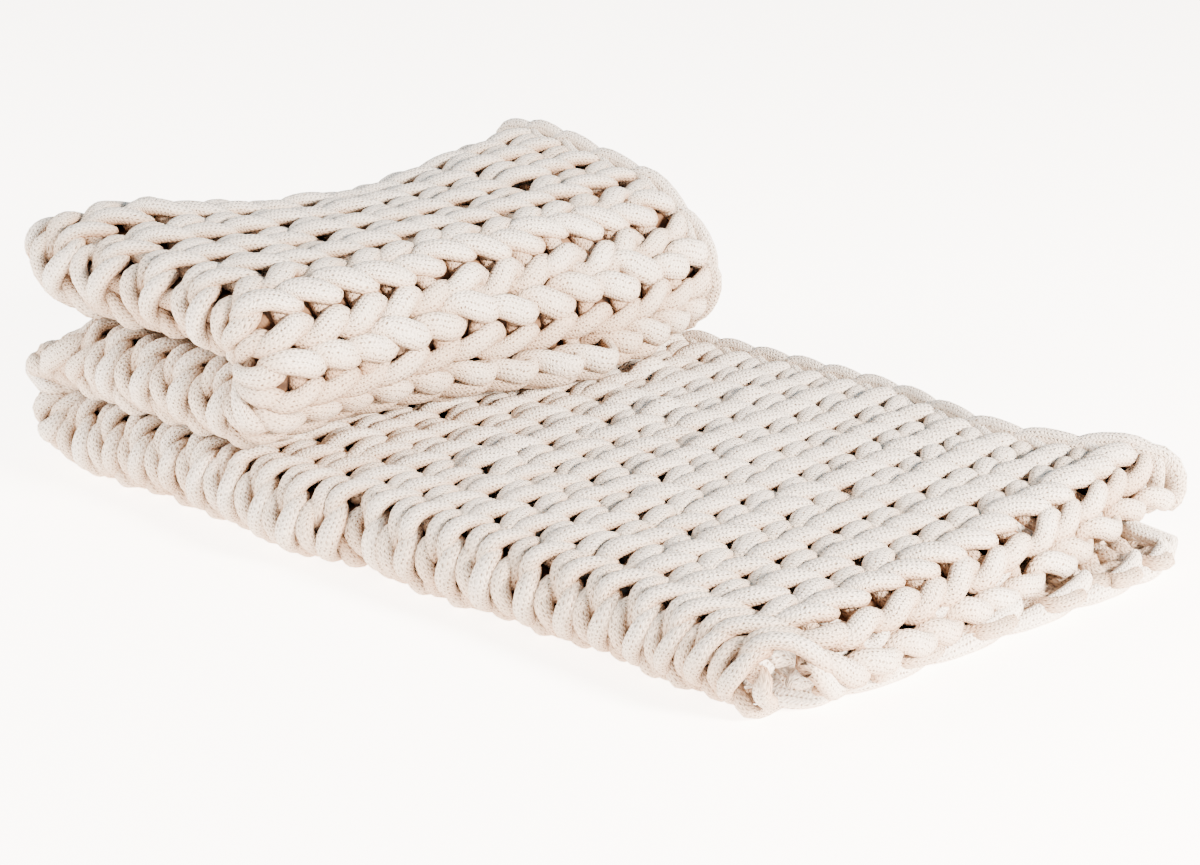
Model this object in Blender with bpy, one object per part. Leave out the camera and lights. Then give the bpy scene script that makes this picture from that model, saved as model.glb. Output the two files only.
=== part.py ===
"""Chunky knit throw, folded: one thick knitted sheet, rolled in three across its width, then zigzagged in
three along its length. +X is the open end of the lowest run, -Y the rounded near edge, +Z up, and it rests
on z = 0."""

import math

import bmesh
import bpy
from mathutils import Vector

LAYER = 0.021  # from one layer of cloth to the next
SHEET = 0.018  # thickness of the knitted sheet, so the layers stay 3 mm apart
RUN = 3 * LAYER  # from one run of the strip to the next
FLOOR_TO_MID = LAYER + SHEET / 2  # height of the lowest run's middle layer

NEAR_TURN = -0.178  # y of the roll's near centre: the bottom layer turns up here and becomes the top layer
FAR_TURN = 0.200  # y of the roll's far centre: the middle layer turns down here and becomes the bottom layer
INNER_EDGE = -0.170  # y of the cast-on edge, inside the roll
OUTER_EDGE = 0.221  # y of the bind-off edge, on top

OPEN_END = 0.312  # x of the lowest run's open end
CURL_START = 0.200  # x where the lowest run's finer steps towards the open end begin
CURL_LINE = 0.288  # x, at y = 0, of the line that the top layer curls down from at the open end
CURL_SLOPE = 0.04  # and how much further out that line runs for each metre of y
CURL_RADIUS = 0.030  # of that curl, to the top layer's middle
END_LIFT = 0.009  # the top layer rises this much off the middle one at the open end
TOP_LAYER_FROM = 0.0405  # z that the lowest run's top layer lies above, before it settles
TOP_LAYER_TO = 0.0620  # and z that it lies below
SECOND_RUN_ASKEW = 0.085  # slope in plan of the second run on the lowest one
TOP_RUN_ASKEW = 0.125  # and further slope of the top run's end on the second run
LEFT_FOLD = -0.343  # x of the centre that the strip turns up around, on the left
RIGHT_FOLD = -0.152  # x of the centre that the strip turns up around, on the right
TOP_END = -0.346  # x of the topmost run's end
PLAN_SHIFT = (-0.0210, 0.0087)  # brings the middle of the plan to the origin

# The roll across the width, from the cast-on edge to the bind-off edge: a row per stretch.
# stretch, y from, y to, height from the middle layer, steps
ACROSS = [
    ("middle layer", INNER_EDGE, FAR_TURN, 0.0, 9),
    ("far turn", FAR_TURN, FAR_TURN, -LAYER / 2, 6),
    ("bottom layer", FAR_TURN, NEAR_TURN, -LAYER, 9),
    ("near turn", NEAR_TURN, NEAR_TURN, 0.0, 9),
    ("top layer", NEAR_TURN, OUTER_EDGE, LAYER, 10),
]

# The zigzag along the length, from the open end to the top run's end: a row per stretch.
# stretch, x from, x to, height of the run or of the turn's centre, steps
ALONG = [
    ("open end", OPEN_END, CURL_START, FLOOR_TO_MID, 10),
    ("lowest run", CURL_START, LEFT_FOLD, FLOOR_TO_MID, 12),
    ("left fold", LEFT_FOLD, LEFT_FOLD, FLOOR_TO_MID + RUN / 2, 8),
    ("second run", LEFT_FOLD, RIGHT_FOLD, FLOOR_TO_MID + RUN, 6),
    ("right fold", RIGHT_FOLD, RIGHT_FOLD, FLOOR_TO_MID + 3 * RUN / 2, 9),
    ("top run", RIGHT_FOLD, TOP_END, FLOOR_TO_MID + 2 * RUN, 7),
]

# How far each layer of the lowest run has slid out at the open end.
# layer, slides at y = 0, more for each metre of y, more when clear of the near turn
SLIDES = {
    "top": (-0.008, 0.07, 0.033),
    "middle": (-0.024, 0.07, 0.0),
    "bottom": (0.022, 0.25, 0.0),
}

# Where each of these effects sets in: none of it below the first value, all of it above the second.
# effect and what it depends on, from, to
FADES = {
    "second run askew, z": (0.030, 0.100),
    "top run askew, z": (0.120, 0.150),
    "top run askew, -x": (0.120, 0.420),
    "open end slides, x": (0.080, 0.340),
    "second run stays, z": (0.062, 0.080),
    "outer layer, level": (0.430, 0.570),
    "bottom to top layer, level": (-0.570, 0.570),
    "layers lie apart, y": (-0.186, -0.178),
    "clear of the near turn, y": (-0.212, -0.148),
    "end lifts, z": (0.036, 0.046),
    "end lifts, x": (0.220, 0.330),
    "end lifts, y": (-0.020, 0.180),
    "clear of the floor, z": (0.000, 0.030),
}

SWELL_EDGE = 0.004  # a swell sets in over this much to each side of the height it acts above
# Soft swells and dents of the settled pile: a row per swell, with how far it moves the cloth at its centre.
# swell, move x, y, z, centre x, y, z, reach x, y, z, acts above this height
SWELLS = [
    ("top rises at the far side", 0.000, 0.000, 0.024, -0.290, 0.210, 0.190, 0.100, 0.120, 0.060, -1.0),
    ("top falls off at the far fold", 0.000, 0.000, -0.018, -0.070, 0.220, 0.190, 0.060, 0.110, 0.040, -1.0),
    ("top sags at its left end", 0.000, 0.000, -0.020, -0.360, 0.080, 0.190, 0.100, 0.100, 0.060, -1.0),
    ("top swells near its left end", 0.000, 0.000, 0.020, -0.360, -0.145, 0.190, 0.070, 0.060, 0.050, -1.0),
    ("left end droops", 0.000, 0.000, -0.008, -0.430, -0.150, 0.150, 0.050, 0.200, 0.060, -1.0),
    ("far left end draws in", 0.022, 0.000, 0.000, -0.380, 0.220, 0.170, 0.090, 0.120, 0.050, -1.0),
    ("upper left fold recedes", 0.056, 0.000, 0.000, -0.400, -0.150, 0.110, 0.080, 0.300, 0.020, -1.0),
    ("crease pinches the left corner", 0.000, 0.030, 0.000, -0.420, -0.210, 0.062, 0.050, 0.060, 0.012, -1.0),
    ("lower right fold tucks in", -0.012, 0.000, 0.000, -0.100, -0.120, 0.078, 0.060, 0.100, 0.022, 0.062),
    ("far right fold swells", 0.026, 0.000, 0.000, -0.090, 0.130, 0.105, 0.090, 0.110, 0.040, 0.062),
    ("lower right fold spreads", 0.072, 0.000, 0.000, -0.080, 0.090, 0.066, 0.110, 0.120, 0.020, 0.062),
    ("near edge bulges", 0.000, -0.010, 0.000, -0.100, -0.200, 0.020, 0.040, 0.070, 0.040, -1.0),
    ("near edge dips", 0.000, 0.012, 0.000, -0.045, -0.200, 0.020, 0.018, 0.060, 0.040, -1.0),
    ("near edge draws in", 0.000, 0.007, 0.000, 0.160, -0.200, 0.020, 0.140, 0.080, 0.060, -1.0),
    ("far edge draws in", 0.000, -0.026, 0.000, 0.190, 0.230, 0.050, 0.060, 0.110, 0.050, -1.0),
    ("far corner points out", 0.000, 0.018, 0.006, 0.300, 0.230, 0.052, 0.035, 0.080, 0.014, -1.0),
    ("far corner draws in", -0.018, -0.048, 0.000, 0.300, 0.230, 0.009, 0.070, 0.080, 0.035, -1.0),
    ("near corner is blunt", -0.010, 0.000, 0.000, 0.290, -0.200, 0.020, 0.060, 0.060, 0.050, -1.0),
]


def ramp(value, low, high):
    """0 below low, 1 above high, smooth in between."""
    t = min(1.0, max(0.0, (value - low) / (high - low)))
    return t * t * (3 - 2 * t)


def fade(effect, value):
    """How much of an effect is in force at this value, from its row of FADES."""
    return ramp(value, *FADES[effect])


def roll_point(stretch, share):
    """Centre line of the roll at a share of one stretch: y, height and the direction of the knit side."""
    name, y_from, y_to, height, _ = stretch
    if name == "far turn":
        turn = math.pi / 2 - math.pi * share
        out, up = math.cos(turn), math.sin(turn)
        return (y_from + LAYER / 2 * out, height + LAYER / 2 * up, out, up)
    if name == "near turn":
        turn = -math.pi / 2 - math.pi * share
        out, up = math.cos(turn), math.sin(turn)
        return (y_from + LAYER * out, height + LAYER * up, out, up)
    side = 1.0 if y_to > y_from else -1.0
    return (y_from + (y_to - y_from) * share, height, 0.0, side)


def run_point(stretch, share):
    """Centre line of the zigzag at a share of one stretch: x, z and the direction to the top layer."""
    name, x_from, x_to, height, _ = stretch
    out, down = math.sin(math.pi * share), math.cos(math.pi * share)
    if name == "left fold":
        return (x_from - RUN / 2 * out, height - RUN / 2 * down, out, down)
    if name == "right fold":
        return (x_from + RUN / 2 * out, height - RUN / 2 * down, out, -down)
    side = 1.0 if x_to < x_from else -1.0
    return (x_from + (x_to - x_from) * share, height, 0.0, side)


def walk(stretches, point):
    """Points of all the stretches in turn, with each joint between two stretches met once."""
    points = [point(stretches[0], 0.0)]
    for stretch in stretches:
        steps = stretch[4]
        points += [point(stretch, k / steps) for k in range(1, steps + 1)]
    return points


def slid(layer, y):
    """How far a layer of the open end has slid out at y."""
    start, slope, clear = SLIDES[layer]
    return start + slope * y + clear * fade("clear of the near turn, y", y)


def settle(x, y, z):
    """Moves a point of the neatly folded pile to where it lies in the settled pile."""
    askew = SECOND_RUN_ASKEW * fade("second run askew, z", z)
    askew += TOP_RUN_ASKEW * fade("top run askew, z", z) * fade("top run askew, -x", -x)
    # each layer of the open end slides out by its own amount
    level = (z - FLOOR_TO_MID) / LAYER
    outer = 1 - fade("layers lie apart, y", y) * (1 - fade("outer layer, level", abs(level)))
    upper = fade("bottom to top layer, level", level)
    slide = slid("middle", y) * (1 - outer) + (slid("bottom", y) * (1 - upper) + slid("top", y) * upper) * outer
    x_out = x + slide * fade("open end slides, x", x) * (1 - fade("second run stays, z", z))
    # the top layer lifts off the middle one there, and its end curls down over the middle one's
    lift = fade("end lifts, z", z) * fade("end lifts, x", x) * fade("end lifts, y", y)
    z_up = z + END_LIFT * lift
    clear = fade("clear of the near turn, y", y)
    past_line = x_out - CURL_LINE - CURL_SLOPE * y
    if TOP_LAYER_FROM < z < TOP_LAYER_TO and clear > 0 and past_line > 0:
        bend = past_line * clear / CURL_RADIUS
        radius = CURL_RADIUS / clear + z - FLOOR_TO_MID - LAYER
        x_out += radius * math.sin(bend) - past_line
        z_up -= radius * (1 - math.cos(bend))
    moved = Vector((x_out + askew * y, y, z_up))
    for _, dx, dy, dz, cx, cy, cz, rx, ry, rz, above in SWELLS:
        weight = math.exp(-(((x - cx) / rx) ** 2) - ((y - cy) / ry) ** 2 - ((z - cz) / rz) ** 2)
        weight *= ramp(z, above - SWELL_EDGE, above + SWELL_EDGE)
        moved += weight * Vector((dx, dy, dz * fade("clear of the floor, z", z)))
    return moved - Vector((PLAN_SHIFT[0], PLAN_SHIFT[1], 0.0))


def outline():
    """Closed outline of the roll as y and height: along its knit side, then back along its other side."""
    centre = walk(ACROSS, roll_point)
    knit_side = [(y + SHEET / 2 * ny, h + SHEET / 2 * nh) for y, h, ny, nh in centre]
    back_side = [(y - SHEET / 2 * ny, h - SHEET / 2 * nh) for y, h, ny, nh in centre]
    first, last = centre[0], centre[-1]
    cast_on = (first[0] - 0.35 * SHEET, first[1])
    bind_off = (last[0] + 0.35 * SHEET, last[1])
    return knit_side + [bind_off] + back_side[::-1] + [cast_on]


def add_sheet(name):
    """The folded sheet as one closed mesh: the outline at each section of the zigzag, with capped ends."""
    ring = outline()
    half = len(ring) // 2
    bm = bmesh.new()
    rows = []
    for x, z, nx, nz in walk(ALONG, run_point):
        rows.append([bm.verts.new(settle(x + nx * h, y, z + nz * h)) for y, h in ring])
    for row, following in zip(rows, rows[1:]):
        for k in range(len(ring)):
            after = (k + 1) % len(ring)
            bm.faces.new((row[k], row[after], following[after], following[k]))
    for row in (rows[0], rows[-1]):
        knit_side, back_side = row[: half - 1], row[half:-1][::-1]
        for k in range(half - 2):
            bm.faces.new((knit_side[k], knit_side[k + 1], back_side[k + 1], back_side[k]))
        bm.faces.new((knit_side[-1], row[half - 1], back_side[-1]))
        bm.faces.new((back_side[0], row[-1], knit_side[0]))
    bmesh.ops.recalc_face_normals(bm, faces=bm.faces)
    bmesh.ops.triangulate(bm, faces=bm.faces)
    mesh = bpy.data.meshes.new(name)
    bm.to_mesh(mesh)
    bm.free()
    node = bpy.data.objects.new(name, mesh)
    bpy.context.scene.collection.objects.link(node)
    return node


def cotton():
    """Undyed cotton: warm off-white and matt."""
    material = bpy.data.materials.new("cotton")
    material.use_nodes = True
    shader = material.node_tree.nodes["Principled BSDF"]
    shader.inputs["Base Color"].default_value = (0.85, 0.79, 0.72, 1.0)
    shader.inputs["Roughness"].default_value = 0.9
    return material


for old in list(bpy.data.objects):
    bpy.data.objects.remove(old, do_unlink=True)
blanket = add_sheet("blanket")
blanket.data.materials.append(cotton())
blanket.data.shade_smooth()
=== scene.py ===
"""Chunky knit throw of one long tubular cotton cord, folded on a pale floor."""

import math

import bpy
import numpy as np
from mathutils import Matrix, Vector


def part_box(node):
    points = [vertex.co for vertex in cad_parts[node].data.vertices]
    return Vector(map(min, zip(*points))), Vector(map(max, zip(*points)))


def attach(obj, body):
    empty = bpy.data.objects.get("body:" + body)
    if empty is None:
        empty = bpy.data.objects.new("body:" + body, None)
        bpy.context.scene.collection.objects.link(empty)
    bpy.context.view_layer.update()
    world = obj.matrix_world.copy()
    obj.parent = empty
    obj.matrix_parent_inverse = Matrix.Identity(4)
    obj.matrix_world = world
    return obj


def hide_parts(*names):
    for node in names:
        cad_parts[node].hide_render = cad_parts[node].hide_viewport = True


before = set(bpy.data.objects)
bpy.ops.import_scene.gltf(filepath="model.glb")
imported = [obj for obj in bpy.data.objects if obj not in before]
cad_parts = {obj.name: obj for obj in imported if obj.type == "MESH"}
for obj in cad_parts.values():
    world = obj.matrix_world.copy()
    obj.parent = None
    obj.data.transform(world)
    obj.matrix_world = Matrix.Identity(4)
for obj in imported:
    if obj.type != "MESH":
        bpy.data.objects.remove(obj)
bpy.ops.object.select_all(action="DESELECT")
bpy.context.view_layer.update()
LOW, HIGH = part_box("blanket")

# ---------------------------------------------------------------------------------------------------------
# Camera: a longish lens a little above the folded throw, looking over its near right corner at the open end
# of the lowest run.
CAMERA_TURN = math.radians(39.57)
CAMERA_RISE = math.radians(20.85)
CAMERA_AWAY = 1.530
CAMERA_LENS = 64.56
LOOKED_AT = Vector((0.0210, -0.0087, 0.0600))

toward_camera = Vector((
    math.sin(CAMERA_TURN) * math.cos(CAMERA_RISE),
    -math.cos(CAMERA_TURN) * math.cos(CAMERA_RISE),
    math.sin(CAMERA_RISE),
))
bpy.ops.object.camera_add(location=LOOKED_AT + CAMERA_AWAY * toward_camera)
camera = bpy.context.active_object
camera.rotation_euler = (-toward_camera).to_track_quat("-Z", "Y").to_euler()
camera.data.lens = CAMERA_LENS
bpy.context.scene.camera = camera

# ---------------------------------------------------------------------------------------------------------
# Web: a thin dark sheet inside the knit, deep between the cords, where little light reaches; its dark brown
# colour is painted shade, standing for the cords behind. It follows the whole folded throw, and shows only
# through the holes between the loops.
LAYER = 0.021  # from one layer of cloth to the next
SHEET = 0.018  # thickness of the knitted cloth
RUN = 3 * LAYER  # from one run of the strip to the next
FLOOR_TO_MID = LAYER + SHEET / 2  # height of the lowest run's middle layer
NEAR_TURN, FAR_TURN = -0.178, 0.200  # y of the centres that the width is rolled around
INNER_EDGE, OUTER_EDGE = -0.170, 0.221  # y of the cast-on and the bind-off edge
OPEN_END, TOP_END = 0.312, -0.346  # x of the strip's two ends
CURLING_END = 0.277  # x where the last wale before the open end begins, before it slides out
LEFT_FOLD, RIGHT_FOLD = -0.343, -0.152  # x of the centres that the strip turns up around
PLAN_SHIFT = (-0.0210, 0.0087)  # brings the middle of the plan to the origin
CURL_LINE = 0.288  # x, at y = 0, of the line that the top layer curls down from at the open end
CURL_SLOPE = 0.04  # and how much further out that line runs for each metre of y
CURL_RADIUS = 0.030  # of that curl, to the top layer's middle
END_LIFT = 0.009  # the top layer rises this much off the middle one at the open end
TOP_LAYER_FROM = 0.0405  # z that the lowest run's top layer lies above, before it settles
TOP_LAYER_TO = 0.0620  # and z that it lies below
SECOND_RUN_ASKEW = 0.085  # slope in plan of the second run on the lowest one
TOP_RUN_ASKEW = 0.125  # and further slope of the top run's end on the second run

# The roll across the width, from the cast-on edge to the bind-off edge: a row per stretch.
# stretch, y from, y to, height from the middle layer, length
ACROSS = [
    ("middle layer", INNER_EDGE, FAR_TURN, 0.0, FAR_TURN - INNER_EDGE),
    ("far turn", FAR_TURN, FAR_TURN, -LAYER / 2, math.pi * LAYER / 2),
    ("bottom layer", FAR_TURN, NEAR_TURN, -LAYER, FAR_TURN - NEAR_TURN),
    ("near turn", NEAR_TURN, NEAR_TURN, 0.0, math.pi * LAYER),
    ("top layer", NEAR_TURN, OUTER_EDGE, LAYER, OUTER_EDGE - NEAR_TURN),
]
# The zigzag along the length, from the open end to the top run's end: a row per stretch.
# stretch, x from, x to, height of the run or of the turn's centre, length
ALONG = [
    ("curling end", OPEN_END, CURLING_END, FLOOR_TO_MID, OPEN_END - CURLING_END),
    ("lowest run", CURLING_END, LEFT_FOLD, FLOOR_TO_MID, CURLING_END - LEFT_FOLD),
    ("left fold", LEFT_FOLD, LEFT_FOLD, FLOOR_TO_MID + RUN / 2, math.pi * RUN / 2),
    ("second run", LEFT_FOLD, RIGHT_FOLD, FLOOR_TO_MID + RUN, RIGHT_FOLD - LEFT_FOLD),
    ("right fold", RIGHT_FOLD, RIGHT_FOLD, FLOOR_TO_MID + 3 * RUN / 2, math.pi * RUN / 2),
    ("top run", RIGHT_FOLD, TOP_END, FLOOR_TO_MID + 2 * RUN, RIGHT_FOLD - TOP_END),
]
WIDTH = sum(row[4] for row in ACROSS)  # of the whole throw, laid flat
LENGTH = sum(row[4] for row in ALONG)
TOP_LAYER_AT = WIDTH - ACROSS[4][4]  # how far across the top layer begins
NEAR_TURN_AT = TOP_LAYER_AT - ACROSS[3][4]  # and the near turn

# How far each layer of the lowest run has slid out at the open end.
# layer, slides at y = 0, more for each metre of y, more when clear of the near turn
SLIDES = {
    "top": (-0.008, 0.07, 0.033),
    "middle": (-0.024, 0.07, 0.0),
    "bottom": (0.022, 0.25, 0.0),
}

# Where each of these effects sets in: none of it below the first value, all of it above the second.
# effect and what it depends on, from, to
FADES = {
    "second run askew, z": (0.030, 0.100),
    "top run askew, z": (0.120, 0.150),
    "top run askew, -x": (0.120, 0.420),
    "open end slides, x": (0.080, 0.340),
    "second run stays, z": (0.062, 0.080),
    "outer layer, level": (0.430, 0.570),
    "bottom to top layer, level": (-0.570, 0.570),
    "layers lie apart, y": (-0.186, -0.178),
    "clear of the near turn, y": (-0.212, -0.148),
    "end lifts, z": (0.036, 0.046),
    "end lifts, x": (0.220, 0.330),
    "end lifts, y": (-0.020, 0.180),
    "clear of the floor, z": (0.000, 0.030),
}

SWELL_EDGE = 0.004  # a swell sets in over this much to each side of the height it acts above
# Soft swells and dents of the settled pile: a row per swell, with how far it moves the cloth at its centre.
# swell, move x, y, z, centre x, y, z, reach x, y, z, acts above this height
SWELLS = [
    ("top rises at the far side", 0.000, 0.000, 0.024, -0.290, 0.210, 0.190, 0.100, 0.120, 0.060, -1.0),
    ("top falls off at the far fold", 0.000, 0.000, -0.018, -0.070, 0.220, 0.190, 0.060, 0.110, 0.040, -1.0),
    ("top sags at its left end", 0.000, 0.000, -0.020, -0.360, 0.080, 0.190, 0.100, 0.100, 0.060, -1.0),
    ("top swells near its left end", 0.000, 0.000, 0.020, -0.360, -0.145, 0.190, 0.070, 0.060, 0.050, -1.0),
    ("left end droops", 0.000, 0.000, -0.008, -0.430, -0.150, 0.150, 0.050, 0.200, 0.060, -1.0),
    ("far left end draws in", 0.022, 0.000, 0.000, -0.380, 0.220, 0.170, 0.090, 0.120, 0.050, -1.0),
    ("upper left fold recedes", 0.056, 0.000, 0.000, -0.400, -0.150, 0.110, 0.080, 0.300, 0.020, -1.0),
    ("crease pinches the left corner", 0.000, 0.030, 0.000, -0.420, -0.210, 0.062, 0.050, 0.060, 0.012, -1.0),
    ("lower right fold tucks in", -0.012, 0.000, 0.000, -0.100, -0.120, 0.078, 0.060, 0.100, 0.022, 0.062),
    ("far right fold swells", 0.026, 0.000, 0.000, -0.090, 0.130, 0.105, 0.090, 0.110, 0.040, 0.062),
    ("lower right fold spreads", 0.072, 0.000, 0.000, -0.080, 0.090, 0.066, 0.110, 0.120, 0.020, 0.062),
    ("near edge bulges", 0.000, -0.010, 0.000, -0.100, -0.200, 0.020, 0.040, 0.070, 0.040, -1.0),
    ("near edge dips", 0.000, 0.012, 0.000, -0.045, -0.200, 0.020, 0.018, 0.060, 0.040, -1.0),
    ("near edge draws in", 0.000, 0.007, 0.000, 0.160, -0.200, 0.020, 0.140, 0.080, 0.060, -1.0),
    ("far edge draws in", 0.000, -0.026, 0.000, 0.190, 0.230, 0.050, 0.060, 0.110, 0.050, -1.0),
    ("far corner points out", 0.000, 0.018, 0.006, 0.300, 0.230, 0.052, 0.035, 0.080, 0.014, -1.0),
    ("far corner draws in", -0.018, -0.048, 0.000, 0.300, 0.230, 0.009, 0.070, 0.080, 0.035, -1.0),
    ("near corner is blunt", -0.010, 0.000, 0.000, 0.290, -0.200, 0.020, 0.060, 0.060, 0.050, -1.0),
]


def ramp(value, low, high):
    """0 below low, 1 above high, smooth in between."""
    t = np.clip((value - low) / (high - low), 0.0, 1.0)
    return t * t * (3 - 2 * t)


def fade(effect, value):
    """How much of an effect is in force at this value, from its row of FADES."""
    return ramp(value, *FADES[effect])


def stretch_shares(table, along):
    """For each stretch of a table: which points lie on it, and how far along it they are, as a share."""
    start, last = 0.0, len(table) - 1
    for k, stretch in enumerate(table):
        length = stretch[4]
        here = np.ones(len(along), bool)
        if k > 0:
            here &= along >= start
        if k < last:
            here &= along < start + length
        yield stretch, here, (along[here] - start) / length
        start += length


def rolled(v, n):
    """The point v across the throw and n towards its knit side, in the roll: y and height."""
    y, h = np.empty(len(v)), np.empty(len(v))
    for (name, y_from, y_to, height, _), here, share in stretch_shares(ACROSS, v):
        if name in ("far turn", "near turn"):
            far = name == "far turn"
            turn = (math.pi / 2 if far else -math.pi / 2) - math.pi * share
            radius = (LAYER / 2 if far else LAYER) + n[here]
            y[here] = y_from + radius * np.cos(turn)
            h[here] = height + radius * np.sin(turn)
        else:
            side = 1.0 if y_to > y_from else -1.0
            y[here] = y_from + (y_to - y_from) * share
            h[here] = height + side * n[here]
    return y, h


def zigzagged(u, h):
    """The point u along the throw at height h of the roll, in the zigzag: x and z."""
    x, z = np.empty(len(u)), np.empty(len(u))
    for (name, x_from, x_to, height, _), here, share in stretch_shares(ALONG, u):
        if name in ("left fold", "right fold"):
            left = name == "left fold"
            radius = RUN / 2 - h[here] if left else RUN / 2 + h[here]
            x[here] = x_from + (-1.0 if left else 1.0) * radius * np.sin(math.pi * share)
            z[here] = height - radius * np.cos(math.pi * share)
        else:
            side = 1.0 if x_to < x_from else -1.0
            x[here] = x_from + (x_to - x_from) * share
            z[here] = height + side * h[here]
    return x, z


def slid(layer, y):
    """How far a layer of the open end has slid out at y."""
    start, slope, clear = SLIDES[layer]
    return start + slope * y + clear * fade("clear of the near turn, y", y)


def settled(x, y, z):
    """Where a point of the neatly folded pile lies in the settled pile, as rows of three numbers."""
    askew = SECOND_RUN_ASKEW * fade("second run askew, z", z)
    askew = askew + TOP_RUN_ASKEW * fade("top run askew, z", z) * fade("top run askew, -x", -x)
    # each layer of the open end slides out by its own amount
    level = (z - FLOOR_TO_MID) / LAYER
    outer = 1 - fade("layers lie apart, y", y) * (1 - fade("outer layer, level", np.abs(level)))
    upper = fade("bottom to top layer, level", level)
    outer_slide = slid("bottom", y) * (1 - upper) + slid("top", y) * upper
    slide = slid("middle", y) * (1 - outer) + outer_slide * outer
    x_out = x + slide * fade("open end slides, x", x) * (1 - fade("second run stays, z", z))
    # the top layer lifts off the middle one there, and its end curls down over the middle one's
    lift = fade("end lifts, z", z) * fade("end lifts, x", x) * fade("end lifts, y", y)
    z_up = z + END_LIFT * lift
    clear = fade("clear of the near turn, y", y)
    past_line = x_out - CURL_LINE - CURL_SLOPE * y
    curls = (z > TOP_LAYER_FROM) & (z < TOP_LAYER_TO) & (clear > 0) & (past_line > 0)
    bend = past_line * clear / CURL_RADIUS
    radius = CURL_RADIUS / np.maximum(clear, 1e-6) + z - FLOOR_TO_MID - LAYER
    moved_x = x_out + np.where(curls, radius * np.sin(bend) - past_line, 0.0) + askew * y - PLAN_SHIFT[0]
    moved_z = z_up - np.where(curls, radius * (1 - np.cos(bend)), 0.0)
    moved_y = y - PLAN_SHIFT[1]
    for _, dx, dy, dz, cx, cy, cz, rx, ry, rz, above in SWELLS:
        weight = np.exp(-(((x - cx) / rx) ** 2) - ((y - cy) / ry) ** 2 - ((z - cz) / rz) ** 2)
        weight = weight * ramp(z, above - SWELL_EDGE, above + SWELL_EDGE)
        moved_x = moved_x + weight * dx
        moved_y = moved_y + weight * dy
        moved_z = moved_z + weight * dz * fade("clear of the floor, z", z)
    return np.stack([moved_x, moved_y, moved_z], axis=1)


def folded(u, v, n):
    """Where the point u along the throw, v across it and n towards its knit side lies, folded and settled."""
    y, h = rolled(v, n)
    x, z = zigzagged(u, h)
    return settled(x, y, z)


def add_mesh(name, points, faces, map_name, places):
    """A new smooth object of these points and faces, linked, with a map: a place for each face's corner."""
    mesh = bpy.data.meshes.new(name)
    mesh.from_pydata(points.tolist(), [], faces)
    mesh.shade_smooth()
    layout = mesh.uv_layers.new(name=map_name)
    layout.data.foreach_set("uv", places.astype(np.float32).ravel())
    piece = bpy.data.objects.new(name, mesh)
    bpy.context.collection.objects.link(piece)
    return piece


WEB_DEPTH = -0.0070  # towards the purl side
WEB_THICK = 0.002
WEB_STEP = 0.010
WEB_INSET = 0.010  # from the throw's edges
WEB_OPEN_INSET = 0.085  # from its edge at the open end
WEB_TOP_INSET = 0.030  # and from that of its top layer
WEB_CHANGE = 0.02  # it goes from one of these insets to the other within this much of the near turn's end
WEB_STRANDS = 75.0  # cords to a metre along the throw, as they show behind
WEB_RIBS = 330.0  # and ribs to a metre along each of them
WEB_WAVES = (45.0, 2.0)  # fineness and detail of the waves that they lie in
WEB_BEND = 0.9  # how many of the cords such a wave reaches over
WEB_RIB_SLANT = 0.5  # how many ribs they slant by across a cord
WEB_RIB_DARK = 0.25  # how much darker it is between them
# painted light in the troughs of the waves
WEB_LEAST_LIT = 0.35
WEB_ROUGHNESS = 0.95
# painted light on the cords behind, painted shade colour there
WEB_SHADES = [
    (0.00, (0.045, 0.019, 0.008, 1.0)),
    (0.35, (0.115, 0.053, 0.023, 1.0)),
    (1.00, (0.220, 0.115, 0.055, 1.0)),
]


def web():
    """The thin sheet as one closed mesh, with a map of its place along and across the throw in metres."""
    us = np.linspace(0.0, 1.0, int(LENGTH / WEB_STEP))
    vs = np.linspace(WEB_INSET, WIDTH - WEB_INSET, int(WIDTH / WEB_STEP))
    u, v = (a.ravel() for a in np.meshgrid(us, vs, indexing="ij"))
    top_layer = ramp(v, TOP_LAYER_AT - WEB_CHANGE, TOP_LAYER_AT + WEB_CHANGE)
    first = WEB_OPEN_INSET + (WEB_TOP_INSET - WEB_OPEN_INSET) * top_layer
    u = first + (LENGTH - WEB_INSET - first) * u
    sides = [folded(u, v, np.full(len(u), WEB_DEPTH + s * WEB_THICK / 2)) for s in (1.0, -1.0)]
    rows, columns = len(us), len(vs)
    number = np.arange(rows * columns).reshape(rows, columns)
    corners = [number[:-1, :-1], number[1:, :-1], number[1:, 1:], number[:-1, 1:]]
    top = np.stack(corners, axis=-1).reshape(-1, 4)
    under = top[:, ::-1] + rows * columns
    rim = np.concatenate([number[0, :], number[1:, -1], number[-1, -2::-1], number[-2:0:-1, 0]])
    after = np.roll(rim, -1)
    wall = np.stack([rim, after, after + rows * columns, rim + rows * columns], axis=-1)
    faces = np.concatenate([top, under, wall])
    flat = np.tile(np.stack([u, v], axis=1), (2, 1))[faces.ravel()]
    return add_mesh("web", np.concatenate(sides), faces.tolist(), "flat", flat)


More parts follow.
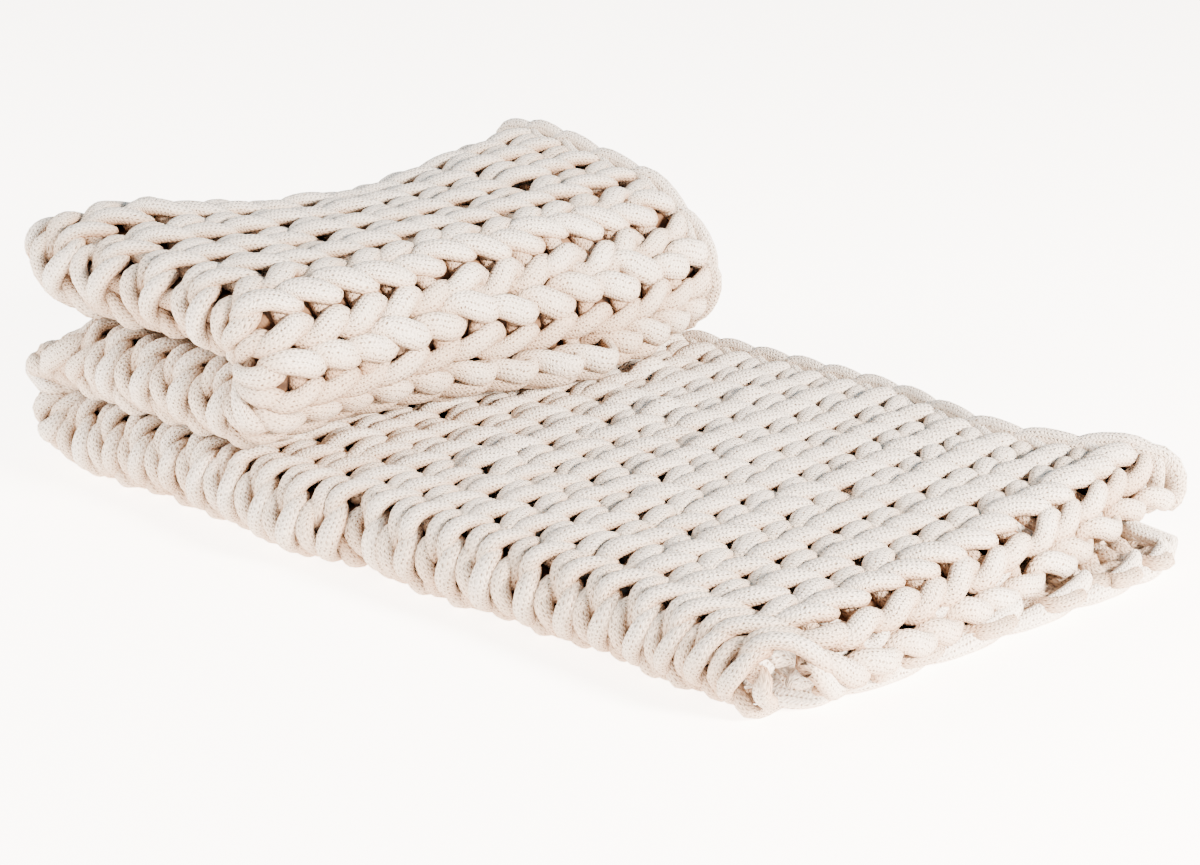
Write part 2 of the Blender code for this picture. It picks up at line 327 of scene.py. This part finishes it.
class Value:
    """A node socket that takes part in Python expressions."""

    def __init__(self, tree, socket):
        self.tree = tree
        self.socket = socket

    def node(self, kind, settings=None, inputs=None, output=0):
        """A new node of this kind: its settings first, then the values or links of its sockets."""
        made = self.tree.nodes.new(kind)
        for name, value in (settings or {}).items():
            if name == "stops":
                set_stops(made.color_ramp, value)
            else:
                setattr(made, name, value)
        for name, value in (inputs or {}).items():
            if isinstance(value, Value):
                self.tree.links.new(value.socket, made.inputs[name])
            else:
                made.inputs[name].default_value = value
        return Value(self.tree, made.outputs[output])

    def part(self, number):
        """Another output of the node that made this value."""
        return Value(self.tree, self.socket.node.outputs[number])

    def math(self, operation, *values):
        return self.node("ShaderNodeMath", {"operation": operation}, dict(enumerate(values)))

    def __add__(self, other):
        return self.math("ADD", self, other)

    def __radd__(self, other):
        return self.math("ADD", other, self)

    def __sub__(self, other):
        return self.math("SUBTRACT", self, other)

    def __rsub__(self, other):
        return self.math("SUBTRACT", other, self)

    def __mul__(self, other):
        return self.math("MULTIPLY", self, other)

    def __rmul__(self, other):
        return self.math("MULTIPLY", other, self)

    def __truediv__(self, other):
        return self.math("DIVIDE", self, other)

    def __pow__(self, other):
        return self.math("POWER", self, other)


def set_stops(ramp_data, stops):
    """Gives a colour ramp these stops: a position and a colour each."""
    while len(ramp_data.elements) > 1:
        ramp_data.elements.remove(ramp_data.elements[0])
    ramp_data.elements[0].position, ramp_data.elements[0].color = stops[0]
    for position, colour in stops[1:]:
        ramp_data.elements.new(position).color = colour


def new_material(name):
    """A fresh material: itself, its Principled shader and a value to start expressions from."""
    material = bpy.data.materials.new(name)
    material.use_nodes = True
    tree = material.node_tree
    shader = tree.nodes["Principled BSDF"]
    return material, shader, Value(tree, shader.outputs[0])


def feed(start, shader, socket, value):
    """Links a value into one of the shader's sockets."""
    start.tree.links.new(value.socket, shader.inputs[socket])


def web_material():
    """Cotton in painted shade: the cords behind, painted as dark brown strands side by side with darker gaps
    between them.
    """
    material, shader, start = new_material("cotton in painted shade")
    place = start.node("ShaderNodeUVMap", {"uv_map": "flat"})
    bent = start.node("ShaderNodeTexNoise", inputs={
        "Vector": place, "Scale": WEB_WAVES[0], "Detail": WEB_WAVES[1]})
    along = start.node("ShaderNodeSeparateXYZ", inputs={0: place})
    across = along.part(1)
    strand = start.math("SINE", (along * WEB_STRANDS + bent * WEB_BEND) * (2 * math.pi)) * 0.5 + 0.5
    rib = start.math("SINE", (across * WEB_RIBS + strand * WEB_RIB_SLANT) * (2 * math.pi)) * 0.5 + 0.5
    # painted light on the cords behind: lighter on the strands, painted shade in the gaps and the troughs of
    # the waves
    painted_light = strand * ((1 - WEB_RIB_DARK) + rib * WEB_RIB_DARK) * (WEB_LEAST_LIT + bent)
    colour = start.node("ShaderNodeValToRGB", {"stops": WEB_SHADES}, {0: painted_light})
    feed(start, shader, "Base Color", colour)
    shader.inputs["Roughness"].default_value = WEB_ROUGHNESS
    return material


web_sheet = web()
web_sheet.data.materials.append(web_material())
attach(web_sheet, "root")

# ---------------------------------------------------------------------------------------------------------
# Courses: one cord, knitted back and forth into plain stockinette, so that each course is a row of loops that
# hang through the course before it and turn back at the selvage. The cord is itself a knitted cotton tube.
COURSES = 39
EDGE = 0.008  # the edge chains lie in the outer part of the cloth, and the courses within them
COURSE = (WIDTH - 2 * EDGE) / COURSES
# stretch of the zigzag, loops of a course that lie on it
LOOPS_ALONG = [
    ("curling end", 1.0),
    ("lowest run", 18.6),
    ("left fold", 3.1),
    ("second run", 4.6),
    ("right fold", 3.6),
    ("top run", 4.1),
]
WALES = round(sum(row[1] for row in LOOPS_ALONG))  # loops in a course
WALE = 0.036  # natural width of a wale
LOOP_REACH = 0.0250  # from a course's middle to its heads, and to its sinkers
LOOP_LEAN = 0.215  # how far the legs spread from foot to shoulder, in wales
LOOP_DEPTH = 0.0040  # legs stand this far out of the cloth's middle, heads and sinkers this far in
SHOULDER_RISE = 0.0016  # and the shoulder of a leg lies this much over its foot
LEG_RISE = 0.0014  # the rising leg of a loop lies this much higher than the middle, the falling one lower, and so in more painted shade
LEG_FULLER = 0.10  # and is so much fuller, because the cord's twist turns the loops a little
HEAD_SLIMMER = 0.40  # a loop's head is so much slimmer than its legs
CORD_WIDE = (0.0132, 0.0197)  # at the foot of a leg, at its shoulder
CORD_THICK = (0.0098, 0.0116)
SELVAGE_BULGE = 0.008  # the bow of cord from one course to the next reaches this far past their ends
BOW_FULL = 0.3  # how full the cord is in the middle of a bow
BOW_STEPS = 12
BOW_PAINTED_LIGHT = 0.011  # painted light: how far the bows of cord at the selvages are lifted out of the painted shade
CROWDING_MOST = 0.5  # the legs of a loop draw together where the cloth is pulled wider, by up to this share
CROWDED_FULLER = 0.25  # and get fuller by this much of it
SLIMMING = 2.6  # how strongly a cord is squeezed slimmer where the cloth is narrower
SLIMMING_MOST = 0.3  # up to this share narrower
TURN_SLIMMING = 0.40  # and how much slimmer it is where it is bent round the near turn
CORNER_PAINTED_LIGHT = 0.009  # painted light: how far the open end of the lower layers is lifted out of the painted shade
PAINTED_LIGHT_FROM_ABOVE = 0.0050  # painted light: how much further out of the painted shade a cord's upper side lies than its flanks
CORD_END = 0.008  # a cut end of the cord is rounded off over this much of its length
CORD_TIP = 0.02  # all but this share of it, which stays open for the cap
PRESSED = 0.004  # height above the floor under which the loops are pressed flatter
CURL_PULL = 0.015  # how far the curl pulls the top layer's last wale out
CORNER_PULL = 0.022  # and how far the cast-on corner sticks out
WALE_PROBE = 0.05  # share of a wale to each side, over which its width is measured
FACING_PROBE = 0.001  # and distance, over which the way that the cloth faces is measured
# Where more of the effects set in, on the loops' own shape and on the cloth laid flat: from, to
FADES.update({
    "leg fills out, foot to head": (-1.05, -0.05),
    "head narrows, foot to head": (0.50, 0.97),
    "bent round the near turn, v": (NEAR_TURN_AT - 0.03, NEAR_TURN_AT),
    "past the near turn, v": (TOP_LAYER_AT - 0.01, TOP_LAYER_AT + 0.03),
    # where the painted light at the open end of the lower layers fades out, in from that end and up to the
    # near turn
    "in from the open end, u": (0.06, 0.13),
    "up to the near turn, v": (NEAR_TURN_AT - 0.1, NEAR_TURN_AT),
    "curl pulls less, u": (0.0, 0.050),
    "curl pulls, v": (TOP_LAYER_AT - 0.01, TOP_LAYER_AT + 0.06),
    "corner pulls less, u": (0.0, 0.110),
    "corner pulls less, v": (0.02, 0.110),
})
# irregularity of the loops, usual size of it: in wales, metres or as a share
STRAY_SIZES = {
    "sideways": 0.060,
    "lengthwise": 0.0026,
    "outward": 0.0013,
    "stoutness": 0.10,
    "lean": 0.035,
}
SEED = 7
STITCHES_AROUND = 14.0  # of the cord's own knit
STITCH_LENGTH = 0.0029
STITCHES_WANDER = (1.1, 1.3)  # how many stitches they wander by, round the cord and along it
LEG_SLOPE = 1.3  # of a stitch's two legs, which meet in its middle
# unevenness of the cord, its fineness, its detail
CORD_NOISES = [
    ("stitches wander", 150.0, 1.0),
    ("pinholes open", 260.0, 1.0),
    ("darker stretches", 55.0, 3.0),
    ("fuzz", 1400.0, 2.0),
]
PINHOLE_SLANT = 0.5
PINHOLE_TIGHT = (40.0, 10.0)  # how tightly a pinhole is drawn together, across its stitch and along it
PINHOLE_EDGE = (0.35, 1.30)  # a pinhole is fully dark inside the first, and gone outside the second
PINHOLES_OPEN = (0.35, 0.62)  # of the noise: nearly shut below the first, wide open above the second
PINHOLE_LEAST = 0.25  # painted shade of the shut ones
PINHOLE_PAINTED_SHADE = (0.58, 0.68, 0.76)  # painted shade in an open one: how much red, green and blue it swallows
RIB_PAINTED_SHADE = 0.22  # painted shade: how much darker the cord is between the stitches' legs
FUZZ_DARK = 0.36
STRETCH_DARK = 0.16
RELIEF = 0.0014  # depth of an open pinhole
RELIEF_STRENGTH = 0.9
RIB_RELIEF = 0.16  # height of the stitches' legs, as a share of that depth
FUZZ_RELIEF = 0.35
CORD_ROUGHNESS = 0.85
SHADE_HEIGHTS = (0.0125, -0.0075)  # heights in the cloth that have the first and the last of these painted shades
# depth in the cloth from its outer face to its back, colour of the cord there: the off-white cotton at the
# face, then ever browner and darker with depth, as painted shade
CORD_PAINTED_SHADES = [
    (0.00, (0.748, 0.664, 0.584, 1.0)),
    (0.14, (0.680, 0.560, 0.455, 1.0)),
    (0.34, (0.580, 0.435, 0.320, 1.0)),
    (0.62, (0.460, 0.295, 0.185, 1.0)),
    (1.00, (0.260, 0.140, 0.075, 1.0)),
]

wale_marks = [0.0]
mark_places = [0.0]
for stretch, (_, loops) in zip(ALONG, LOOPS_ALONG):
    wale_marks.append(wale_marks[-1] + loops)
    mark_places.append(mark_places[-1] + stretch[4])
mark_places[0] = EDGE
mark_places[-1] = LENGTH - EDGE
# half a wale more at either edge, for the legs that lean out over it
wale_marks = [-0.5] + wale_marks + [WALES + 0.5]
mark_places = [EDGE - 0.5 * WALE] + mark_places + [LENGTH - EDGE + 0.5 * WALE]

luck = np.random.default_rng(SEED)
STRAY = {name: luck.normal(0.0, size, (COURSES + 1, WALES + 1)) for name, size in STRAY_SIZES.items()}


def stray(name, course, wale):
    """A little irregularity of a loop, which passes smoothly into the next loop's."""
    table = STRAY[name]
    place = np.clip(wale, 0.0, WALES - 1e-6)  # short of the last wale, which has none to its right
    left = np.floor(place).astype(int)
    share = place - left
    share = share * share * (3 - 2 * share)
    return table[course, left] * (1 - share) + table[course, left + 1] * share


def pulled(u, v):
    """At the open end the curl pulls the top layer's last wale out, and the cast-on corner sticks out."""
    u = u - CURL_PULL * fade("curl pulls, v", v) * (1 - fade("curl pulls less, u", u))
    return u - CORNER_PULL * (1 - fade("corner pulls less, v", v)) * (1 - fade("corner pulls less, u", u))


def wale_width(wale, v):
    """How wide the wales lie here, as the folds spread or squeeze them."""
    left, right = (folded(np.interp(wale + probe, wale_marks, mark_places), v, np.zeros(len(v)))
                   for probe in (-WALE_PROBE, WALE_PROBE))
    return np.linalg.norm(right - left, axis=1) / (2 * WALE_PROBE)


def course_line(course, steps):
    """Centre line of one course from the first wale to the last: u, v, n, fullness and painted shade level.
    """
    per_loop = np.arange(WALES * steps + 1) / steps
    turn = 2 * math.pi * per_loop
    to_head = -np.cos(turn)  # from -1 at the sinkers between the loops to 1 at their heads
    v = EDGE + COURSE * (course + 0.5) + LOOP_REACH * to_head + stray("lengthwise", course, per_loop)
    stretch = wale_width(per_loop, v) / WALE - 1
    crowd = np.clip(stretch, 0.0, CROWDING_MOST)
    bent = fade("bent round the near turn, v", v) * (1 - fade("past the near turn, v", v))
    slim = SLIMMING * np.clip(-stretch, 0.0, SLIMMING_MOST) + TURN_SLIMMING * bent
    lean = LOOP_LEAN + stray("lean", course, per_loop)
    wale = per_loop + lean * np.sin(2 * turn) + stray("sideways", course, per_loop)
    u = np.interp(wale + crowd * np.sin(turn) / (2 * math.pi), wale_marks, mark_places)
    n = -LOOP_DEPTH * np.cos(2 * turn) + stray("outward", course, per_loop)
    n = n + SHOULDER_RISE * to_head * np.sin(turn) ** 2 + LEG_RISE * np.sin(turn)
    full = fade("leg fills out, foot to head", to_head)
    full = full - HEAD_SLIMMER * fade("head narrows, foot to head", to_head)
    full = np.maximum(full, crowd) * (1 + CROWDED_FULLER * crowd - slim)
    full = full * (1 + LEG_FULLER * np.sin(turn)) * (1 + stray("stoutness", course, per_loop))
    # painted light at the open end of the lower layers, up to the near turn
    light = (1 - fade("in from the open end, u", u)) * (1 - fade("up to the near turn, v", v))
    return np.stack([u, v, n, full, n + CORNER_PAINTED_LIGHT * light], axis=1)


def tube(line, sides, facing, shaded, cut):
    """Points, lengths along and painted shade levels of a flat tube along a line, its flat side turned to
    facing.
    """
    u, v, n, full, level = line.T
    u = pulled(u, v)
    centre = folded(u, v, n)
    du, dv, dn = (FACING_PROBE * part for part in facing)
    out = folded(u + du, v + dv, n + dn) - folded(u - du, v - dv, n - dn)
    out /= np.linalg.norm(out, axis=1)[:, None]
    ahead = np.gradient(centre, axis=0)
    ahead /= np.linalg.norm(ahead, axis=1)[:, None]
    side = np.cross(ahead, out)
    side /= np.linalg.norm(side, axis=1)[:, None]
    up = np.cross(side, ahead)
    wide = (CORD_WIDE[0] + (CORD_WIDE[1] - CORD_WIDE[0]) * full) / 2
    thick = (CORD_THICK[0] + (CORD_THICK[1] - CORD_THICK[0]) * full) / 2
    along = np.concatenate([[0.0], np.cumsum(np.linalg.norm(np.diff(centre, axis=0), axis=1))])
    for cut_here, from_end in zip(cut, (along, along[-1] - along)):
        if cut_here:
            narrow = np.sqrt(1 - (1 - np.clip(from_end / CORD_END, CORD_TIP, 1.0)) ** 2)
            wide, thick = wide * narrow, thick * narrow
    angle = 2 * math.pi * np.arange(sides) / sides
    cos, sin = np.cos(angle), np.sin(angle)
    ring = (centre[:, None, :] + (wide[:, None] * cos)[:, :, None] * side[:, None, :]
            + (thick[:, None] * sin)[:, :, None] * up[:, None, :])
    # the floor presses the lowest loops flat
    low = ring[:, :, 2] < PRESSED
    ring[:, :, 2] = np.where(low, PRESSED * np.exp((ring[:, :, 2] - PRESSED) / PRESSED), ring[:, :, 2])
    outwards = ((cos / wide[:, None])[:, :, None] * side[:, None, :]
                + (sin / thick[:, None])[:, :, None] * up[:, None, :])
    outwards /= np.linalg.norm(outwards, axis=2)[:, :, None]
    # painted shade level: the height in the cloth, with painted light on the cord's outer side and on its
    # upper side
    height = level[:, None] + shaded * thick[:, None] * sin + PAINTED_LIGHT_FROM_ABOVE * outwards[:, :, 2]
    return ring, along, height


def add_cord(name, line, sides, facing=(0, 0, 1), shaded=1.0, cut=(True, True)):
    """A length of cord as one closed tube, with its own map: round it, and along it in metres."""
    ring, along, height = tube(line, sides, facing, shaded, cut)
    count = len(ring)
    number = np.arange(count * sides).reshape(count, sides)
    turned = np.roll(number, -1, axis=1)
    faces = np.stack([number[:-1], number[1:], turned[1:], turned[:-1]], axis=-1).reshape(-1, 4)
    caps = [number[0].tolist(), number[-1][::-1].tolist()]
    round_share = np.arange(sides) / sides
    near = np.tile(round_share, count - 1)
    far = near + 1 / sides
    start, end = np.repeat(along[:-1], sides), np.repeat(along[1:], sides)
    quad = np.stack([near, start, near, end, far, end, far, start], axis=-1).reshape(-1, 2)
    ends = np.concatenate([np.stack([round_share, np.full(sides, along[0])], axis=1),
                           np.stack([round_share[::-1], np.full(sides, along[-1])], axis=1)])
    piece = add_mesh(name, ring.reshape(-1, 3), faces.tolist() + caps, "cord", np.concatenate([quad, ends]))
    # the attribute "height" holds the painted shade level that the cotton's colour is read from
    painted_shade_level = piece.data.attributes.new("height", "FLOAT", "POINT")
    painted_shade_level.data.foreach_set("value", height.astype(np.float32).ravel())
    return piece


def selvage(course):
    """The short bow of cord at the edge, from the end of one course to the start of the next."""
    right = course % 2 == 0
    edge = LENGTH - EDGE if right else EDGE
    turn = math.pi * np.linspace(0.0, 1.0, BOW_STEPS + 1)[1:-1]
    u = edge + (1.0 if right else -1.0) * SELVAGE_BULGE * np.sin(turn)
    v = EDGE + COURSE * (course + 1.0 - 0.5 * np.cos(turn)) - LOOP_REACH
    n = np.full(len(turn), -LOOP_DEPTH)
    # the bows' painted shade level, lifted by painted light in their middle
    return np.stack([u, v, n, BOW_FULL * np.sin(turn), n + BOW_PAINTED_LIGHT * np.sin(turn)], axis=1)


def courses(first, last, steps):
    """Centre line of the cord through courses first to last, with the bows at the selvage between them."""
    lines = []
    for course in range(first, last + 1):
        line = course_line(course, steps)
        lines.append(line if course % 2 == 0 else line[::-1])
        if course < COURSES - 1:
            lines.append(selvage(course))
    return np.concatenate(lines)


def cord_material():
    """Undyed cotton cord: off-white, a fine knitted tube with a pinhole at each of its own stitches; painted
    shade darkens the pinholes, the grooves between the stitches' legs and the cord deeper in the cloth.
    """
    material, shader, start = new_material("cotton cord")
    place = start.node("ShaderNodeUVMap", {"uv_map": "cord"})
    share = start.node("ShaderNodeSeparateXYZ", inputs={0: place})
    where = start.node("ShaderNodeTexCoord", output=3)
    wander, uneven, patchy, fuzz = (
        start.node("ShaderNodeTexNoise", inputs={"Vector": where, "Scale": fineness, "Detail": detail})
        for _, fineness, detail in CORD_NOISES
    )
    around = share * STITCHES_AROUND + (wander - 0.5) * STITCHES_WANDER[0]
    along = share.part(1) / STITCH_LENGTH + (wander - 0.5) * STITCHES_WANDER[1]
    odd = start.math("MODULO", start.math("FLOOR", around), 2.0)
    dx = start.math("FRACT", around) - 0.5
    dy = start.math("FRACT", along + odd * 0.5) - 0.5
    # a pinhole is a slanting oval, about half as wide as it is long; some are open, others nearly shut, and
    # its darkness is painted shade
    slant = dy + dx * PINHOLE_SLANT
    far = (dx * dx * PINHOLE_TIGHT[0] + slant * slant * PINHOLE_TIGHT[1]) ** 0.5
    hole = start.node("ShaderNodeMapRange", {"interpolation_type": "SMOOTHSTEP"}, {
        "Value": far, "From Min": PINHOLE_EDGE[0], "From Max": PINHOLE_EDGE[1], "To Min": 1.0, "To Max": 0.0})
    open_hole = hole * start.node("ShaderNodeMapRange", inputs={
        "Value": uneven, "From Min": PINHOLES_OPEN[0], "From Max": PINHOLES_OPEN[1], "To Min": PINHOLE_LEAST})
    chevron = start.math("SINE", (along + odd * 0.5 + start.math("ABSOLUTE", dx) * LEG_SLOPE) * (2 * math.pi))
    # painted shade: the cord is painted browner and darker the deeper it lies in the cloth
    level = start.node("ShaderNodeAttribute", {"attribute_name": "height"}, output=2)
    deep = start.node("ShaderNodeMapRange", inputs={
        "Value": level, "From Min": SHADE_HEIGHTS[0], "From Max": SHADE_HEIGHTS[1]})
    cotton_with_painted_shade = start.node("ShaderNodeValToRGB", {"stops": CORD_PAINTED_SHADES}, {0: deep + (patchy - 0.5) * STRETCH_DARK})
    # painted shade in the grooves between the stitches' legs, and fuzz, the cotton's own uneven tone
    shade = 1.0 - (0.5 - chevron * 0.5) * RIB_PAINTED_SHADE - (fuzz - 0.5) * FUZZ_DARK
    stitch_shade_and_fuzz = start.node("ShaderNodeCombineXYZ", inputs={
        channel: shade * (1.0 - open_hole * dark) for channel, dark in enumerate(PINHOLE_PAINTED_SHADE)})
    colour = start.node("ShaderNodeMix", {"data_type": "RGBA", "blend_type": "MULTIPLY"},
                        {0: 1.0, 6: cotton_with_painted_shade, 7: stitch_shade_and_fuzz}, output=2)
    feed(start, shader, "Base Color", colour)
    relief = chevron * RIB_RELIEF - open_hole + fuzz * FUZZ_RELIEF
    bump = start.node("ShaderNodeBump", inputs={
        "Height": relief, "Strength": RELIEF_STRENGTH, "Distance": RELIEF})
    feed(start, shader, "Normal", bump)
    shader.inputs["Roughness"].default_value = CORD_ROUGHNESS
    return material


cotton_cord = cord_material()


def finish_cord(piece):
    """Gives a length of cord its cotton, and lets it ride with the throw."""
    piece.data.materials.append(cotton_cord)
    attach(piece, "root")
    return piece


# piece, first course, last course, steps in a loop, sides of the cord
BANDS = [
    ("inner_layer", 0, 11, 12, 8),
    ("bottom_layer", 12, 22, 16, 8),
    ("near_turn", 23, 26, 30, 12),
    ("top_layer_near", 27, 32, 30, 12),
    ("top_layer_far", 33, 38, 30, 12),
]
for name, first, last, steps, sides in BANDS:
    cut = (first == 0, last == COURSES - 1)
    finish_cord(add_cord(name, courses(first, last, steps), sides, cut=cut))

# ---------------------------------------------------------------------------------------------------------
# Edge chains: the cord closes each edge of the throw with a chain of loops, each drawn through the last. The
# bind-off and the cast-on have a loop for each wale, and the two selvages one for every two courses.
CHAIN_HALF = 0.0070  # from the chain's middle to its legs
CHAIN_DEPTH = 0.0050
CHAIN_STEPS, SELVAGE_STEPS = 24, 30  # in a loop
CHAIN_SIDES = 10
CHAIN_SHADED = 0.3  # how much of the painted shade between a cord's outer side and its back they show
CHAIN_PAINTED_LIGHT = (0.0085, 0.0105)  # painted light: how far the chains are lifted out of the painted shade, where slim, where full
CHAIN_TUCK = 0.014  # how far the selvage is drawn in and under, from the near turn on
FADES["selvage tucks in, v"] = (NEAR_TURN_AT - 0.03, NEAR_TURN_AT + 0.01)
# One loop of a chain: place on the cord, share of a loop ahead, halves across, depths outwards, fullness
CHAIN_LOOP = [
    (0.00, -0.05, 0.40, 0.20, 0.5),  # foot, inside the last loop's head
    (0.12, 0.35, 0.80, 0.50, 0.8),
    (0.24, 0.85, 0.80, 0.50, 0.9),  # shoulder
    (0.33, 1.18, 0.00, -0.20, 0.5),  # head, round the next loop's feet
    (0.42, 0.85, -0.80, 0.50, 0.9),  # shoulder
    (0.54, 0.35, -0.80, 0.50, 0.8),
    (0.66, -0.05, -0.40, 0.20, 0.5),  # foot
    (0.83, 0.50, 0.00, -1.20, 0.1),  # behind, to the next loop's foot
]
# One loop of a selvage, in the same columns: a single leaf of cord, tucked under the next one
SELVAGE_LOOP = [
    (0.00, -0.10, -1.00, -0.60, 0.2),
    (0.20, 0.15, -0.60, 0.30, 0.8),
    (0.42, 0.50, 0.10, 0.70, 1.2),
    (0.62, 0.90, 0.80, 0.30, 0.8),
    (0.75, 1.10, 1.00, -0.60, 0.2),
    (0.88, 1.02, 0.10, -1.60, 0.0),
]


def smooth_through(places, values, at):
    """A smooth line through these values at these places, read at other places."""
    k = np.clip(np.searchsorted(places, at, side="right") - 1, 1, len(places) - 3)
    p0, p1, p2, p3 = (places[k + i] for i in (-1, 0, 1, 2))
    v0, v1, v2, v3 = (values[k + i] for i in (-1, 0, 1, 2))
    t = (at - p1) / (p2 - p1)
    slope1 = (v2 - v0) / (p2 - p0) * (p2 - p1)
    slope2 = (v3 - v1) / (p3 - p1) * (p2 - p1)
    return ((2 * t**3 - 3 * t**2 + 1) * v1 + (t**3 - 2 * t**2 + t) * slope1
            + (3 * t**2 - 2 * t**3) * v2 + (t**3 - t**2) * slope2)


def chain_line(loop, links, steps):
    """Centre line of a chain: links ahead, metres across, metres outwards, fullness and painted shade level.
    """
    rows = np.array([(k + place, k + ahead, across, out, full)
                     for k in range(-1, links + 1) for place, ahead, across, out, full in loop])
    at = np.linspace(0.0, links, links * steps + 1)
    ahead, across, outward, full = (smooth_through(rows[:, 0], rows[:, c], at) for c in (1, 2, 3, 4))
    level = CHAIN_PAINTED_LIGHT[0] + (CHAIN_PAINTED_LIGHT[1] - CHAIN_PAINTED_LIGHT[0]) * full
    return np.clip(ahead, 0.0, links), across * CHAIN_HALF, outward * CHAIN_DEPTH, full, level


def end_chain(v_edge, side):
    """The bind-off or cast-on chain: a loop for each wale."""
    ahead, across, outward, full, level = chain_line(CHAIN_LOOP, WALES, CHAIN_STEPS)
    u = np.interp(ahead, wale_marks, mark_places)
    return np.stack([u, v_edge + side * (outward - EDGE), side * across, full, level], axis=1)


def selvage_chain(u_edge, side):
    """The chain along a selvage: a loop for every two courses."""
    links = COURSES // 2
    ahead, across, outward, full, level = chain_line(SELVAGE_LOOP, links, SELVAGE_STEPS)
    v = ahead * (WIDTH / links)
    tucked = CHAIN_TUCK * fade("selvage tucks in, v", v)
    n = -side * across - tucked
    u = u_edge + side * (outward - EDGE - tucked)
    return np.stack([u, v, n, full, level], axis=1)


# piece, centre line, the way its flat side faces along, across and out of the cloth
CHAINS = [
    ("bind_off", end_chain(WIDTH, 1.0), (0, 1, 0)),
    ("cast_on", end_chain(0.0, -1.0), (0, -1, 0)),
    ("open_end_selvage", selvage_chain(0.0, -1.0), (-1, 0, 0)),
    ("top_end_selvage", selvage_chain(LENGTH, 1.0), (1, 0, 0)),
]
chain_pieces = [
    finish_cord(add_cord(name, line, CHAIN_SIDES, facing, CHAIN_SHADED)) for name, line, facing in CHAINS
]
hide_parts("blanket")

# ---------------------------------------------------------------------------------------------------------
# Floor and light: a white plastic floor that glows evenly of itself, a strong warm lamp low on the right,
# a broad one at the front left, a faint cool one above the far side, and cool walls all round.
FLOOR_SIZE = 14.0
FLOOR_DROP = 0.0005  # it lies this far below the throw
FLOOR_PLASTIC = (0.9, 0.9, 0.9, 1.0)
FLOOR_ROUGHNESS = 0.9
FLOOR_GLOW = 7.0
FLOOR_COLOUR = (1.0, 0.905, 0.810, 1.0)  # of that glow
ROOM_GLOW = 0.20
ROOM_COLOUR = (0.55, 0.80, 1.0, 1.0)
LIT_POINT = Vector((0, 0, 0.08))  # where all the lamps point
# lamp, place, size, power, colour
LIGHTS = [
    ("key", (2.3, 0.1, 0.98), 0.5, 480.0, (1.0, 0.89, 0.78)),
    ("front", (-1.7, -1.7, 1.0), 1.2, 155.0, (1.0, 0.93, 0.86)),
    ("top", (-0.6, 0.9, 2.6), 1.5, 48.0, (0.55, 0.80, 1.0)),
]

bpy.ops.mesh.primitive_plane_add(size=FLOOR_SIZE, location=(0, 0, -FLOOR_DROP))
floor = bpy.context.active_object
floor.name = "floor"
floor_material, floor_shader = new_material("white floor")[:2]
floor_shader.inputs["Base Color"].default_value = FLOOR_PLASTIC
floor_shader.inputs["Roughness"].default_value = FLOOR_ROUGHNESS
floor_shader.inputs["Emission Color"].default_value = FLOOR_COLOUR
floor_shader.inputs["Emission Strength"].default_value = FLOOR_GLOW
floor.data.materials.append(floor_material)

world = bpy.data.worlds.new("studio")
bpy.context.scene.world = world
world.use_nodes = True
world.node_tree.nodes["Background"].inputs[0].default_value = ROOM_COLOUR
world.node_tree.nodes["Background"].inputs[1].default_value = ROOM_GLOW
for name, place, size, power, colour in LIGHTS:
    bpy.ops.object.light_add(type="AREA", location=place)
    light = bpy.context.active_object
    light.name = name
    light.rotation_euler = (Vector(place) - LIT_POINT).to_track_quat("Z", "Y").to_euler()
    light.data.size = size
    light.data.energy = power
    light.data.color = colour
